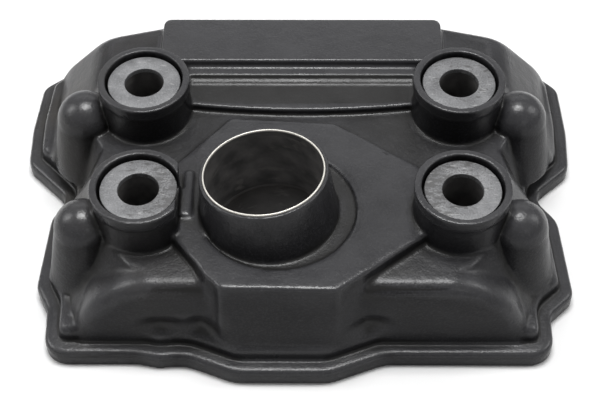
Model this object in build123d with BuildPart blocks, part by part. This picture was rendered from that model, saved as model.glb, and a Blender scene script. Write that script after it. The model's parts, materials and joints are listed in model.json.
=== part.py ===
from build123d import *
import os

# Cylinder head cover of a small twin-cam engine, in millimetres.
# Origin: middle of the footprint, on the face that meets the cylinder head.
# +X runs along the camshafts, +Y to the back of the cover, +Z up.

os.makedirs("parts", exist_ok=True)

# ---- driving dimensions -------------------------------------------------
WALL = 3.0                    # thickness of the cast walls
FLANGE_T = 5.3                # thickness of the perimeter flange
FLANGE_EDGE_R = 1.5           # rounding of the flange's upper edge
FOOT_INSET = 4.3              # flange shelf outside the walls
FOOT_Z = 10.0                 # low step above the flange
FOOT_EDGE_R = 2.0

DECK_Z = 28.0                 # flat deck between the bosses
PLATEAU_Z = 30.3              # raised plateau round the plug tube, at its middle
PLATEAU_LEAN = 2.2            # it rises towards the front, degrees
RIDGE_Z = 31.8                # crest of the back ridge
SLAB_Z = 34.2                 # raised slab on the back ridge
LEDGE_Z = 30.2                # ledge in front of the rib

SEAT_Z = 40.0                 # top of the mounting washers
BOSS_TOP_Z = 41.5             # rim of each bolt boss
BOSS_R = 13.0                 # the rim stands a little proud of the body
BOSS_RIM_H = 3.4
BOSS_BODY_R = 12.4
BOSS_DRAFT = 0.8
RECESS_R = 11.0               # counterbore that holds the washer
BOLT_BORE_R = 8.0             # bore in the boss, lined by the rubber bush
BOLT_R = 5.5                  # clear hole for the shouldered bolt
TOWER_R = 11.0                # bolt tower under the deck
TOWER_FOOT_Z = 3.0

FRONT_BOLT = (42.85, -22.2)
BACK_BOLT = (44.45, 17.0)

WASHER_R = 10.25
WASHER_T = 1.6
BUSH_HEAD_T = 3.0             # flanged head of the rubber bush
FLAT_X = -FRONT_BOLT[0] + WASHER_R  # flat on the front left boss, touching its washer
FLAT_CUT = 3.0                # how far past the flat the boss is cut away
RIB_X, RIB_Y = -30.6, -16.5   # narrow rib beside that flat
RIB_W, RIB_L = 2.4, 16.0
RIB_TOP_Z = 32.2

TUBE_MOUTH = (-9.7, -19.8, 44.4)  # middle of the plug tube's mouth
TUBE_LEAN_X = 4.6             # lean towards -X, degrees
TUBE_LEAN_Y = 5.4             # lean towards +Y, degrees
TUBE_R = 17.2
TUBE_BORE_R = 15.7
SLEEVE_R = 16.3               # outside of the pressed sleeve
COLLAR_LENGTH = 16.0
COLLAR_DRAFT = 6.0
MOUTH_TO_PLATEAU = -14.2      # along the tube
MOAT_DEPTH = 0.9
MOAT_R = 21.4                 # shallow ring sunk round the collar, off centre
MOAT_SHIFT_X = 2.4

GROOVE_INSET = 2.7            # gasket groove, from the flange's outer edge
GROOVE_W = 2.8
GROOVE_DEPTH = 2.4

# ---- outlines -----------------------------------------------------------
# Each corner is (x, y, corner radius). Each side has two ears with a notch
# between; the front edge has a broad bulge for the plug well.
RIGHT_SIDE = [
    (68.8, -51.4, 6.5),
    (69.1, -38.0, 4.0),
    (76.3, -31.3, 5.0),
    (74.8, -4.6, 8.0),
    (68.4, 4.4, 5.0),
    (80.4, 15.4, 6.0),
    (81.4, 30.0, 30.0),
    (80.8, 48.4, 5.0),
    (74.5, 55.2, 6.0),
    (66.0, 57.3, 8.0),
]
LEFT_SIDE = [
    (-66.0, 57.3, 8.0),
    (-74.5, 55.2, 6.0),
    (-82.2, 48.8, 5.0),
    (-83.4, 31.0, 30.0),
    (-82.8, 17.0, 6.0),
    (-69.2, 3.0, 5.0),
    (-73.3, -4.0, 8.0),
    (-74.5, -28.6, 5.0),
    (-70.6, -36.4, 4.0),
    (-69.6, -51.4, 6.5),
]
FRONT_BULGE = [
    (-45.0, -51.3, 12.0),
    (-38.5, -52.6, 8.0),
    (-31.5, -51.9, 12.0),
    (-18.0, -57.3, 14.0),
    (8.0, -57.3, 14.0),
    (23.0, -51.4, 14.0),
]
outline = FRONT_BULGE + RIGHT_SIDE + LEFT_SIDE
outline_pts = [(x, y) for x, y, r in outline]
outline_radii = [r for x, y, r in outline]

# The ends slope up from the low foot to the deck: right half of each outline.
SLOPE_FOOT = [(58.0, -45.6), (63.6, -42.0), (64.4, -36.0), (70.6, -29.5), (69.6, -6.5),
              (63.6, 2.5), (75.6, 14.5), (76.6, 30.0), (75.8, 45.0), (68.0, 52.0)]
SLOPE_TOP = [(38.0, -41.0), (44.5, -38.5), (49.0, -34.0), (56.0, -27.5), (58.0, -8.0),
             (56.0, 2.5), (64.0, 17.0), (57.0, 30.0), (47.0, 43.0), (38.0, 45.0)]

# Arches: how the two camshaft humps fall away at their ends, (x, z, radius), right half.
FRONT_ARCH = [(45.0, DECK_Z, 18.0), (57.4, 18.2, 24.0), (65.8, 0, 0)]
BACK_ARCH = [(36.0, RIDGE_Z, 40.0), (60.5, 25.6, 16.0), (74.0, 11.5, 20.0), (79.5, 0, 0)]
FRONT_WALL_Y = -48.0
BACK_WALL_Y = 53.6
FRONT_HUMP_END_Y = -6.0
BACK_HUMP_START_Y = 20.0
WALL_DRAFT = 4.0
WALL_STEEP = 0.1              # a wall face leans less than this
HUMP_W = 170.0                # wide enough for the arches to cut both ends
OVERLAP = 1.0                 # how far joined bodies run into each other
FRONT_TOP_R = 4.2
BACK_TOP_R = 4.0

# steps that run between the back bosses, front edge and height
LEDGE_HALF = 33.0             # they end inside the bosses
LEDGE_END_Y = 18.0
LEDGE_BOW_Y = 15.8
STEPS = [(26.3, 30.9), (27.8, 32.0), (30.0, 31.3)]
SLAB_HALF = 42.3
SLAB_FRONT_Y = 30.8
SLAB_BACK_Y = 50.4
SLAB_CORNER_R = 3.0

PLATEAU = [
    (-20.6, -48.6), (9.5, -49.2), (34.4, -29.5), (32.9, -6.0),
    (9.6, 11.2), (-20.4, 13.1), (-34.7, -5.1), (-34.7, -30.0),
]
BULGE_FOOT = [(-32.0, -44.0), (-31.0, -48.0), (-18.0, -53.0), (9.0, -53.0), (22.5, -48.0),
              (24.0, -44.0)]
BULGE_TOP = [(-27.0, -40.0), (-24.5, -44.0), (-20.4, -48.4), (9.4, -49.0), (16.0, -43.8),
             (19.0, -40.0)]
DOMES = [(62.1, 14.6, 8.2), (58.8, -25.2, 7.8)]
DOME_CENTRE_Z = 27.6
DOME_DRAFT = 11.0             # the domes flare out towards their foot

# ---- inside -------------------------------------------------------------
CAVITY_INSET = 8.0            # open underside, from the flange's outer edge
CAVITY_FRONT_X = 108.0        # width of the hollow under each hump's shoulders
CAVITY_BACK_X = 116.0
CAVITY_CREST_X = 76.0         # and under its flat crest
PLUG_TOWER_R = 20.6
PLUG_TOWER_LENGTH = 40.6      # along the tube, from its mouth
SEAL_R = 18.2
SEAL_BORE_R = 14.8
SEAL_T = 4.0
POST_R = 4.0
BAFFLE = (88.0, 17.0, 1.5)
BAFFLE_Y = 38.8
BAFFLE_Z = 20.0
BAFFLE_SCREWS = [(-38.0, 34.0), (38.0, 34.0), (-38.0, 43.6), (38.0, 43.6)]
GUIDE_X = 21.5
GUIDE_Z = 22.0
GUIDE_W = 12.0
GUIDE_Y = (-21.0, 13.0)
GUIDE_BOLTS_Y = (-17.5, 9.5)
PAD_Y = (-12.5, 4.5)
SLEEVE_PROUD = 0.3            # sleeve's turned end above the collar
SLEEVE_CHAMFER = 0.5
SEAL_LIP = 0.8
BUSH_LENGTH = 14.0
BUSH_BORE_R = 6.0
BUSH_CLEAR = 0.1
WASHER_CHAMFER = 0.3
BAFFLE_CORNER_R = 3.0
DRAIN_X = (-14.0, 0.0, 14.0)  # oil drain slots
DRAIN_L = 9.0
DRAIN_W = 3.0
SCREW_R = 2.0
SCREW_HEAD_R = 3.8
SCREW_HEAD_T = 2.4
SCREW_HEAD_ROUND = 1.0
CROSS_L = 4.2
CROSS_W = 0.9
CROSS_DEPTH = 1.4
BRACKET_T = 2.0
PAD_T = 4.0
GUIDE_BOLT_R = 3.0
GUIDE_HEX_R = 5.6
GUIDE_HEAD_T = 4.0


def arch_corners(arch, inset=0.0):
    # closed outline of a hump's arch as (points, radii): right half, then its mirror image
    right = [(x - inset, max(z - inset, 0), r) for x, z, r in arch]
    full = right + [(-x, z, r) for x, z, r in reversed(right)]
    return [(x, z) for x, z, r in full], [r for x, z, r in full]


def crest_edges(hump, axis, end):
    # the arch's edge on the hump's front wall (end 0) or back wall (end -1)
    wall = hump.faces().filter_by(lambda f: abs(f.normal_at().Z) < WALL_STEEP).sort_by(axis)[end]
    return wall.edges().filter_by(lambda e: e.center().Z > FOOT_Z / 2)


def mirrored(half):
    # closed outline from its right half, front to back
    return half + [(-x, y) for x, y in reversed(half)]


def both_sides(points):
    return [(side * x, y) for x, y in points for side in (-1, 1)]


tube_axis = Vector(0, 0, 1).rotate(Axis.X, -TUBE_LEAN_Y).rotate(Axis.Y, -TUBE_LEAN_X)
plateau_plane = Plane(origin=(0, 0, PLATEAU_Z), x_dir=(1, 0, 0),
                      z_dir=Vector(0, 0, 1).rotate(Axis.X, -PLATEAU_LEAN))
mouth_plane = Plane(origin=TUBE_MOUTH, x_dir=(1, 0, 0), z_dir=tube_axis)
tube_foot = mouth_plane.offset(MOUTH_TO_PLATEAU).origin
BOLTS = both_sides([FRONT_BOLT, BACK_BOLT])
BOLT_NAMES = ("front_left", "front_right", "back_left", "back_right")

# ---- construction bodies: the humps and the hollow underneath --------------
with BuildPart() as front_hump:
    with BuildSketch(Plane.XY):
        with Locations((0, (FRONT_WALL_Y + FRONT_HUMP_END_Y) / 2)):
            Rectangle(HUMP_W, FRONT_HUMP_END_Y - FRONT_WALL_Y)
    extrude(amount=DECK_Z, taper=WALL_DRAFT)
    with BuildSketch(Plane.XZ):
        with BuildLine():
            arch_pts, arch_radii = arch_corners(FRONT_ARCH)
            FilletPolyline(*arch_pts, radius=arch_radii, close=True)
        make_face()
    extrude(amount=HUMP_W, both=True, mode=Mode.INTERSECT)
    fillet(crest_edges(front_hump, Axis.Y, 0), radius=FRONT_TOP_R)

with BuildPart() as back_hump:
    with BuildSketch(Plane.XY):
        with Locations((0, (BACK_WALL_Y + BACK_HUMP_START_Y) / 2)):
            Rectangle(HUMP_W, BACK_WALL_Y - BACK_HUMP_START_Y)
    extrude(amount=RIDGE_Z, taper=WALL_DRAFT)
    with BuildSketch(Plane.XZ):
        with BuildLine():
            arch_pts, arch_radii = arch_corners(BACK_ARCH)
            FilletPolyline(*arch_pts, radius=arch_radii, close=True)
        make_face()
    extrude(amount=HUMP_W, both=True, mode=Mode.INTERSECT)
    fillet(crest_edges(back_hump, Axis.Y, -1), radius=BACK_TOP_R)

with BuildPart() as cavity:
    with BuildSketch(Plane.XY):
        with BuildLine():
            FilletPolyline(*outline_pts, radius=outline_radii, close=True)
        make_face()
        offset(amount=-CAVITY_INSET, kind=Kind.INTERSECTION, mode=Mode.REPLACE)
    extrude(amount=FOOT_Z - WALL)
    with BuildSketch(Plane.XY.offset(FOOT_Z - WALL - OVERLAP)):
        with BuildLine():
            Polyline(*mirrored(SLOPE_FOOT), close=True)
        make_face()
        offset(amount=-WALL, kind=Kind.INTERSECTION, mode=Mode.REPLACE)
    with BuildSketch(Plane.XY.offset(DECK_Z - WALL)):
        with BuildLine():
            Polyline(*mirrored(SLOPE_TOP), close=True)
        make_face()
        offset(amount=-WALL, kind=Kind.INTERSECTION, mode=Mode.REPLACE)
    loft(ruled=True)
    with BuildSketch(Plane.XY):
        with Locations((0, (FRONT_WALL_Y + FRONT_HUMP_END_Y) / 2)):
            Rectangle(CAVITY_FRONT_X, FRONT_HUMP_END_Y - FRONT_WALL_Y - 2 * WALL)
    extrude(amount=FRONT_ARCH[1][1] - WALL, taper=WALL_DRAFT)
    with BuildSketch(Plane.XY):
        with Locations((0, (BACK_WALL_Y + BACK_HUMP_START_Y) / 2)):
            Rectangle(CAVITY_BACK_X, BACK_WALL_Y - BACK_HUMP_START_Y - 2 * WALL)
    extrude(amount=BACK_ARCH[1][1] - WALL, taper=WALL_DRAFT)
    with BuildSketch(Plane.XY):
        with Locations((0, (FRONT_WALL_Y + FRONT_HUMP_END_Y) / 2)):
            Rectangle(CAVITY_CREST_X, FRONT_HUMP_END_Y - FRONT_WALL_Y - 2 * WALL)
    extrude(amount=DECK_Z - WALL, taper=WALL_DRAFT)
    with BuildSketch(Plane.XY):
        with Locations((0, (BACK_WALL_Y + SLAB_FRONT_Y) / 2)):
            Rectangle(CAVITY_CREST_X, BACK_WALL_Y - SLAB_FRONT_Y - 2 * WALL)
    extrude(amount=RIDGE_Z - WALL, taper=WALL_DRAFT)
    # the towers, posts and bosses stay solid
    with BuildSketch(Plane.XY.offset(TOWER_FOOT_Z)):
        with Locations(*BOLTS):
            Circle(TOWER_R)
    extrude(amount=DECK_Z, mode=Mode.SUBTRACT)
    with BuildSketch(mouth_plane.offset(-PLUG_TOWER_LENGTH)):
        Circle(PLUG_TOWER_R)
    extrude(amount=PLUG_TOWER_LENGTH, mode=Mode.SUBTRACT)
    with BuildSketch(Plane.XY.offset(BAFFLE_Z + BAFFLE[2])):
        with Locations(*BAFFLE_SCREWS):
            Circle(POST_R)
    extrude(amount=SLAB_Z - BAFFLE_Z, mode=Mode.SUBTRACT)
    with BuildSketch(Plane.XY.offset(GUIDE_Z)):
        with Locations(*[(GUIDE_X, y) for y in GUIDE_BOLTS_Y]):
            Circle(POST_R)
    extrude(amount=DECK_Z - GUIDE_Z, mode=Mode.SUBTRACT)

# ---- the casting -----------------------------------------------------------
with BuildPart() as casting:
    with BuildSketch(Plane.XY) as flange_face:
        with BuildLine():
            FilletPolyline(*outline_pts, radius=outline_radii, close=True)
        make_face()
    extrude(amount=FLANGE_T)
    fillet(casting.edges().group_by(Axis.Z)[-1], radius=FLANGE_EDGE_R)
    with BuildSketch(Plane.XY):
        add(flange_face.sketch)
        offset(amount=-FOOT_INSET, mode=Mode.REPLACE)
    extrude(amount=FOOT_Z)
    fillet(casting.edges().group_by(Axis.Z)[-1], radius=FOOT_EDGE_R)
    # end slopes, from the foot up to the deck
    with BuildSketch(Plane.XY.offset(FOOT_Z - OVERLAP)):
        with BuildLine():
            Polyline(*mirrored(SLOPE_FOOT), close=True)
        make_face()
    with BuildSketch(Plane.XY.offset(DECK_Z)):
        with BuildLine():
            Polyline(*mirrored(SLOPE_TOP), close=True)
        make_face()
    loft(ruled=True)
    # camshaft humps, cleared in front of the ledges
    add(front_hump.part)
    add(back_hump.part)
    with BuildSketch(Plane.XY.offset(DECK_Z)):
        with Locations((0, (STEPS[1][0] + LEDGE_BOW_Y) / 2)):
            Rectangle(2 * LEDGE_HALF, STEPS[1][0] - LEDGE_BOW_Y)
    extrude(amount=SLAB_Z - DECK_Z, mode=Mode.SUBTRACT)
    # ledge with a bowed front edge, two narrow steps and the raised slab
    with BuildSketch(Plane.XY.offset(DECK_Z - WALL)):
        with BuildLine():
            ThreePointArc((-LEDGE_HALF, LEDGE_END_Y), (0, LEDGE_BOW_Y),
                          (LEDGE_HALF, LEDGE_END_Y))
            Polyline((LEDGE_HALF, LEDGE_END_Y), (LEDGE_HALF, SLAB_FRONT_Y),
                     (-LEDGE_HALF, SLAB_FRONT_Y), (-LEDGE_HALF, LEDGE_END_Y))
        make_face()
    extrude(amount=LEDGE_Z - DECK_Z + WALL)
    for front_y, step_z in STEPS:
        with BuildSketch(Plane.XY.offset(DECK_Z - WALL)):
            with Locations((0, (front_y + SLAB_FRONT_Y) / 2)):
                Rectangle(2 * LEDGE_HALF, SLAB_FRONT_Y - front_y)
        extrude(amount=step_z - DECK_Z + WALL)
    with BuildSketch(Plane.XY.offset(DECK_Z)):
        with Locations((0, (SLAB_FRONT_Y + SLAB_BACK_Y) / 2)):
            RectangleRounded(2 * SLAB_HALF, SLAB_BACK_Y - SLAB_FRONT_Y, SLAB_CORNER_R)
    extrude(amount=SLAB_Z - DECK_Z, taper=2 * WALL_DRAFT)
    # plateau round the plug tube and the bulge of its front wall
    with BuildSketch(plateau_plane):
        with BuildLine():
            Polyline(*PLATEAU, close=True)
        make_face()
    extrude(amount=-(PLATEAU_Z - FOOT_Z), taper=-WALL_DRAFT)
    with BuildSketch(Plane.XY):
        with BuildLine():
            Polyline(*BULGE_FOOT, close=True)
        make_face()
    with BuildSketch(plateau_plane):
        with BuildLine():
            Polyline(*BULGE_TOP, close=True)
        make_face()
    loft(ruled=True)
    # domes over the ends of the camshafts
    for dome_x, dome_y, dome_r in DOMES:
        for x in (dome_x, -dome_x):
            with BuildSketch(Plane.XY.offset(DOME_CENTRE_Z)):
                with Locations((x, dome_y)):
                    Circle(dome_r)
            extrude(amount=FOOT_Z - DOME_CENTRE_Z, taper=-DOME_DRAFT)
            with Locations((x, dome_y, DOME_CENTRE_Z)):
                Sphere(dome_r)
    # bolt bosses
    with BuildSketch(Plane.XY.offset(BOSS_TOP_Z)):
        with Locations(*BOLTS):
            Circle(BOSS_R)
    extrude(amount=-BOSS_RIM_H)
    with BuildSketch(Plane.XY.offset(BOSS_TOP_Z)):
        with Locations(*BOLTS):
            Circle(BOSS_BODY_R)
    extrude(amount=-(BOSS_TOP_Z - DECK_Z + WALL), taper=-BOSS_DRAFT)
    with BuildSketch(plateau_plane):
        with Locations((FLAT_X + FLAT_CUT / 2, FRONT_BOLT[1])):
            Rectangle(FLAT_CUT, 2 * BOSS_R)
    extrude(amount=BOSS_TOP_Z - PLATEAU_Z, mode=Mode.SUBTRACT)
    # narrow rib between that flat and the plug tube
    with BuildSketch(Plane.XY.offset(DECK_Z)):
        with Locations((RIB_X, RIB_Y)):
            Rectangle(RIB_W, RIB_L)
    extrude(amount=RIB_TOP_Z - DECK_Z)
    # collar of the plug tube, in a shallow moat
    with BuildSketch(plateau_plane.offset(-MOAT_DEPTH)):
        with Locations((tube_foot.X + MOAT_SHIFT_X, tube_foot.Y)):
            Circle(MOAT_R)
    extrude(amount=-MOUTH_TO_PLATEAU, mode=Mode.SUBTRACT)
    with BuildSketch(mouth_plane):
        Circle(TUBE_R)
    extrude(amount=-COLLAR_LENGTH, taper=-COLLAR_DRAFT)
    # hollow underside
    add(cavity.part, mode=Mode.SUBTRACT)
    with BuildSketch(Plane.XY.offset(TOWER_FOOT_Z)):
        with Locations(*BOLTS):
            Circle(BOLT_BORE_R)
    extrude(amount=BOSS_TOP_Z, mode=Mode.SUBTRACT)
    with BuildSketch(Plane.XY.offset(SEAT_Z - WASHER_T - BUSH_HEAD_T)):
        with Locations(*BOLTS):
            Circle(RECESS_R)
    extrude(amount=BOSS_TOP_Z, mode=Mode.SUBTRACT)
    with BuildSketch(mouth_plane.offset(-PLUG_TOWER_LENGTH - TOWER_FOOT_Z)):
        Circle(SLEEVE_R)
    extrude(amount=PLUG_TOWER_LENGTH + 2 * TOWER_FOOT_Z, mode=Mode.SUBTRACT)
    with BuildSketch(mouth_plane.offset(-PLUG_TOWER_LENGTH - TOWER_FOOT_Z)):
        Circle(SEAL_R)
    extrude(amount=SEAL_T + TOWER_FOOT_Z, mode=Mode.SUBTRACT)
    # gasket groove
    with BuildSketch(Plane.XY) as groove_face:
        add(flange_face.sketch)
        offset(amount=-GROOVE_INSET, mode=Mode.REPLACE)
    with BuildSketch(Plane.XY) as groove_core:
        add(flange_face.sketch)
        offset(amount=-GROOVE_INSET - GROOVE_W, mode=Mode.REPLACE)
    with BuildSketch(Plane.XY) as groove:
        add(groove_face.sketch)
        add(groove_core.sketch, mode=Mode.SUBTRACT)
    extrude(groove.sketch, amount=GROOVE_DEPTH, mode=Mode.SUBTRACT)
casting.part.label = "cover_casting"
export_step(casting.part, "parts/cover_casting.step")

# ---- plug tube: pressed sleeve and the rubber ring that seals on the head ---
with BuildPart() as plug_tube_sleeve:
    with BuildSketch(mouth_plane.offset(SLEEVE_PROUD)):
        Circle(SLEEVE_R)
        Circle(TUBE_BORE_R, mode=Mode.SUBTRACT)
    extrude(amount=-(PLUG_TOWER_LENGTH - SEAL_T + SLEEVE_PROUD))
    rim = plug_tube_sleeve.edges().filter_by(GeomType.CIRCLE).group_by(Axis.Z)[-1]
    chamfer(rim.sort_by(SortBy.RADIUS)[0], length=SLEEVE_CHAMFER)
plug_tube_sleeve.part.label = "plug_tube_sleeve"
export_step(plug_tube_sleeve.part, "parts/plug_tube_sleeve.step")

with BuildPart() as plug_tube_seal:
    with BuildSketch(mouth_plane.offset(-PLUG_TOWER_LENGTH)):
        Circle(SEAL_R)
        Circle(SEAL_BORE_R, mode=Mode.SUBTRACT)
    extrude(amount=SEAL_T)
    lip = plug_tube_seal.edges().filter_by(GeomType.CIRCLE).sort_by(SortBy.RADIUS)[:2]
    chamfer(lip, length=SEAL_LIP)
plug_tube_seal.part.label = "plug_tube_seal"
export_step(plug_tube_seal.part, "parts/plug_tube_seal.step")

# ---- mounting washers on rubber bushes, one set in each boss ---------------
for place, (x, y) in zip(BOLT_NAMES, BOLTS):
    with BuildPart() as seat_washer:
        with BuildSketch(Plane((x, y, SEAT_Z - WASHER_T))):
            Circle(WASHER_R)
            Circle(BOLT_R, mode=Mode.SUBTRACT)
        extrude(amount=WASHER_T)
        chamfer(seat_washer.edges().group_by(Axis.Z)[-1], length=WASHER_CHAMFER)
    seat_washer.part.label = "seat_washer_" + place
    export_step(seat_washer.part, "parts/seat_washer_" + place + ".step")

    with BuildPart() as mount_bush:
        with BuildSketch(Plane((x, y, SEAT_Z - WASHER_T))):
            Circle(WASHER_R)
        extrude(amount=-BUSH_HEAD_T)
        with BuildSketch(Plane((x, y, SEAT_Z - WASHER_T))):
            Circle(BOLT_BORE_R - BUSH_CLEAR)
        extrude(amount=-BUSH_LENGTH)
        with BuildSketch(Plane((x, y, SEAT_Z - WASHER_T))):
            Circle(BUSH_BORE_R)
        extrude(amount=-BUSH_LENGTH, mode=Mode.SUBTRACT)
    mount_bush.part.label = "mount_bush_" + place
    export_step(mount_bush.part, "parts/mount_bush_" + place + ".step")

# ---- moulded rubber gasket in the flange's groove --------------------------
with BuildPart() as cover_gasket:
    extrude(groove.sketch, amount=GROOVE_DEPTH)
cover_gasket.part.label = "cover_gasket"
export_step(cover_gasket.part, "parts/cover_gasket.step")

# ---- oil baffle under the back ridge, held by four screws -------------------
with BuildPart() as oil_baffle:
    with BuildSketch(Plane.XY.offset(BAFFLE_Z)):
        with Locations((0, BAFFLE_Y)):
            RectangleRounded(BAFFLE[0], BAFFLE[1], BAFFLE_CORNER_R)
        with Locations(*BAFFLE_SCREWS):
            Circle(SCREW_R, mode=Mode.SUBTRACT)
        with Locations(*[(x, BAFFLE_Y) for x in DRAIN_X]):
            SlotOverall(DRAIN_L, DRAIN_W, mode=Mode.SUBTRACT)
    extrude(amount=BAFFLE[2])
oil_baffle.part.label = "oil_baffle"
export_step(oil_baffle.part, "parts/oil_baffle.step")

for number, (x, y) in enumerate(BAFFLE_SCREWS, start=1):
    with BuildPart() as baffle_screw:
        with BuildSketch(Plane((x, y, BAFFLE_Z))):
            Circle(SCREW_HEAD_R)
        extrude(amount=-SCREW_HEAD_T)
        fillet(baffle_screw.edges().group_by(Axis.Z)[0], radius=SCREW_HEAD_ROUND)
        with BuildSketch(Plane((x, y, BAFFLE_Z - SCREW_HEAD_T))):
            Rectangle(CROSS_L, CROSS_W)
            Rectangle(CROSS_W, CROSS_L)
        extrude(amount=CROSS_DEPTH, mode=Mode.SUBTRACT)
        with BuildSketch(Plane((x, y, BAFFLE_Z))):
            Circle(SCREW_R)
        extrude(amount=BAFFLE[2])
    baffle_screw.part.label = "baffle_screw_" + str(number)
    export_step(baffle_screw.part, "parts/baffle_screw_" + str(number) + ".step")

# ---- cam chain guide: steel bracket, moulded pad, two hexagon bolts ---------
with BuildPart() as chain_guide_bracket:
    with BuildSketch(Plane.XY.offset(GUIDE_Z - BRACKET_T)):
        with Locations((GUIDE_X, sum(GUIDE_Y) / 2)):
            RectangleRounded(GUIDE_W, GUIDE_Y[1] - GUIDE_Y[0], BAFFLE_CORNER_R)
        with Locations(*[(GUIDE_X, y) for y in GUIDE_BOLTS_Y]):
            Circle(GUIDE_BOLT_R, mode=Mode.SUBTRACT)
    extrude(amount=BRACKET_T)
chain_guide_bracket.part.label = "chain_guide_bracket"
export_step(chain_guide_bracket.part, "parts/chain_guide_bracket.step")

with BuildPart() as chain_guide_pad:
    with BuildSketch(Plane.XY.offset(GUIDE_Z - BRACKET_T)):
        with Locations((GUIDE_X, sum(PAD_Y) / 2)):
            Rectangle(GUIDE_W, PAD_Y[1] - PAD_Y[0])
    extrude(amount=-PAD_T)
    fillet(chain_guide_pad.edges().filter_by(Axis.X).group_by(Axis.Z)[0], radius=PAD_T / 2)
chain_guide_pad.part.label = "chain_guide_pad"
export_step(chain_guide_pad.part, "parts/chain_guide_pad.step")

for place, y in zip(("front", "back"), GUIDE_BOLTS_Y):
    with BuildPart() as guide_bolt:
        with BuildSketch(Plane((GUIDE_X, y, GUIDE_Z - BRACKET_T))):
            RegularPolygon(GUIDE_HEX_R, 6)
        extrude(amount=-GUIDE_HEAD_T)
        chamfer(guide_bolt.edges().group_by(Axis.Z)[0], length=WASHER_CHAMFER)
        with BuildSketch(Plane((GUIDE_X, y, GUIDE_Z - BRACKET_T))):
            Circle(GUIDE_BOLT_R)
        extrude(amount=BRACKET_T)
    guide_bolt.part.label = "guide_bolt_" + place
    export_step(guide_bolt.part, "parts/guide_bolt_" + place + ".step")
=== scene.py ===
import json
import math
import bpy
import bmesh
import numpy as np
from mathutils import Matrix, Quaternion, Vector

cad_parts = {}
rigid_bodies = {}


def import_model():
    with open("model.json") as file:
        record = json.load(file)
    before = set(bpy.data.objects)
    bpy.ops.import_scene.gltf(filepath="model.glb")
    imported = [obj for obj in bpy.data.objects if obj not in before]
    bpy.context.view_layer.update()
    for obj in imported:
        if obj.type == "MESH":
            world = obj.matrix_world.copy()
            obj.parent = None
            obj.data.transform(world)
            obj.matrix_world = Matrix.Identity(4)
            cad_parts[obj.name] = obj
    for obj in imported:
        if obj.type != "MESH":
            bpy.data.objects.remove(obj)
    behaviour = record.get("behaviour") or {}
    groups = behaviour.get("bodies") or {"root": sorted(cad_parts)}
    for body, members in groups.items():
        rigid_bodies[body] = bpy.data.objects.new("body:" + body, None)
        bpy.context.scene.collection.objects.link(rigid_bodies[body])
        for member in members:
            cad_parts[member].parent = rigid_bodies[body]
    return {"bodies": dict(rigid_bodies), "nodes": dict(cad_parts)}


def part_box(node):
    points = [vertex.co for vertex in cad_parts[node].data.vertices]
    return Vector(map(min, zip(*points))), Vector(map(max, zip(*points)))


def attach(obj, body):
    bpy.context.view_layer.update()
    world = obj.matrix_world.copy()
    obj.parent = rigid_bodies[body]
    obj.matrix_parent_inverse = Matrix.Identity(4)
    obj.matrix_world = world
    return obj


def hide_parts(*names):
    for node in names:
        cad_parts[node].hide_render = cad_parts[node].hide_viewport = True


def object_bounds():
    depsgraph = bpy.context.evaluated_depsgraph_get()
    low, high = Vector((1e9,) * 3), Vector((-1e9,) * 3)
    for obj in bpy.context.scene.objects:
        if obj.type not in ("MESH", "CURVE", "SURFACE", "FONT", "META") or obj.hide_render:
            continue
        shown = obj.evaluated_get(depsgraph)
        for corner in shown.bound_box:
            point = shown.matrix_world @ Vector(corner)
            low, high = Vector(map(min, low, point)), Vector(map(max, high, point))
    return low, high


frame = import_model()
cad_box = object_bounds()
nodes = frame["nodes"]
body = next(iter(frame["bodies"]))

# ---------------------------------------------------------------------------
# Bench, light and camera. The cover lies on a plain pale bench under a broad
# soft light; none of it belongs to the cover.
# ---------------------------------------------------------------------------
scene = bpy.context.scene
BENCH_HALF = 3.0
BENCH_WHITE = (0.95, 0.95, 0.95, 1)
BENCH_ROUGHNESS = 0.9
STUDIO_LIGHT = 0.24
bench_z = cad_box[0][2]

bench_mesh = bpy.data.meshes.new("bench")
bench_corners = [(x * BENCH_HALF, y * BENCH_HALF, bench_z)
                 for x, y in ((-1, -1), (1, -1), (1, 1), (-1, 1))]
bench_mesh.from_pydata(bench_corners, [], [(0, 1, 2, 3)])
bench = bpy.data.objects.new("bench", bench_mesh)
scene.collection.objects.link(bench)
bench_paint = bpy.data.materials.new("bench_white")
bench_paint.use_nodes = True
bench_shader = bench_paint.node_tree.nodes["Principled BSDF"]
bench_shader.inputs["Base Color"].default_value = BENCH_WHITE
bench_shader.inputs["Roughness"].default_value = BENCH_ROUGHNESS
bench_mesh.materials.append(bench_paint)

world = bpy.data.worlds.new("studio")
scene.world = world
world.use_nodes = True
sky = world.node_tree.nodes["Background"]
sky.inputs["Color"].default_value = (1.0, 1.0, 1.0, 1)
sky.inputs["Strength"].default_value = STUDIO_LIGHT

# name: place, aim, size and power of each soft light
SOFTBOXES = {
    "overhead_light": ((0.0, 0.10, 0.80), (0, 0, 0.02), (0.36, 0.26), 5.0),
    "back_light": ((0.0, 0.85, 0.55), (0, 0, 0.02), (1.2, 0.30), 0.9),
    "left_light": ((-0.62, 0.10, 0.50), (0, 0, 0.02), (0.25, 0.40), 1.5),
    "right_light": ((0.62, 0.10, 0.50), (0, 0, 0.02), (0.25, 0.40), 1.1),
    "front_glint": ((0.30, -0.55, 0.42), (0, 0, 0.03), (0.09, 0.09), 0.08),
}
for lamp_name, (lamp_place, lamp_aim, lamp_size, lamp_power) in SOFTBOXES.items():
    light = bpy.data.lights.new(lamp_name, "AREA")
    light.shape = "RECTANGLE"
    light.size, light.size_y = lamp_size
    light.energy = lamp_power
    lamp = bpy.data.objects.new(lamp_name, light)
    lamp.location = lamp_place
    toward = Vector(lamp_aim) - Vector(lamp_place)
    lamp.rotation_euler = toward.to_track_quat("-Z", "Y").to_euler()
    scene.collection.objects.link(lamp)

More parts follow.
